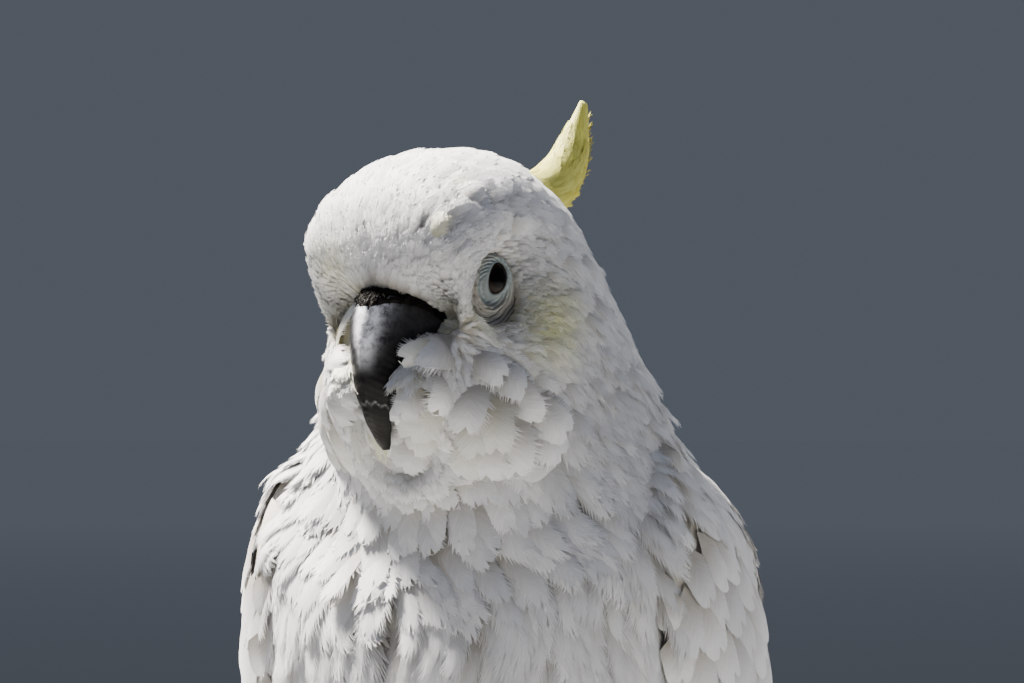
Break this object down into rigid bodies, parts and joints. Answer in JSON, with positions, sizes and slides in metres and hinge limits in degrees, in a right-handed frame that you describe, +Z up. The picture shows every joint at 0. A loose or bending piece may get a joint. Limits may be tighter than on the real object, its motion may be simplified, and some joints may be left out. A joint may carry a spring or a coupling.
{
  "type": "white cockatoo",
  "caption": "Life-size standing white cockatoo with a yellow crest folded back, a dark hooked bill and its head turned, as a still museum model.",
  "frame": {"origin": "on the floor, under the middle of the bird's bounding box", "axes": "+Z up; the bird's body faces -Y, its tail points to +Y and its left side is +X"},
  "size_m": [0.1566, 0.3693, 0.3365],
  "materials": {
    "white_feathers": "soft white contour feathers, matt with a faint silky sheen",
    "crest_feathers": "sulphur yellow feathers, cream on the front of the crest",
    "black_horn": "black horn, satin, with a pale powdery bloom of feather dust on the bill",
    "scaly_skin": "dark grey scaly skin, matt",
    "eye": "very dark brown, wet and glossy"
  },
  "bodies": {
    "root": {"claw_left_1": "black_horn", "claw_left_2": "black_horn", "claw_left_3": "black_horn", "claw_left_4": "black_horn", "claw_right_1": "black_horn", "claw_right_2": "black_horn", "claw_right_3": "black_horn", "claw_right_4": "black_horn", "crest": "crest_feathers", "eye_left": "eye", "eye_right": "eye", "foot_left": "scaly_skin", "foot_right": "scaly_skin", "head": "white_feathers", "lower_bill": "black_horn", "neck": "white_feathers", "tail": "white_feathers", "thigh_left": "white_feathers", "thigh_right": "white_feathers", "trunk": "white_feathers", "upper_bill": "black_horn", "wing_left": "white_feathers", "wing_right": "white_feathers"}
  },
  "joints": []
}
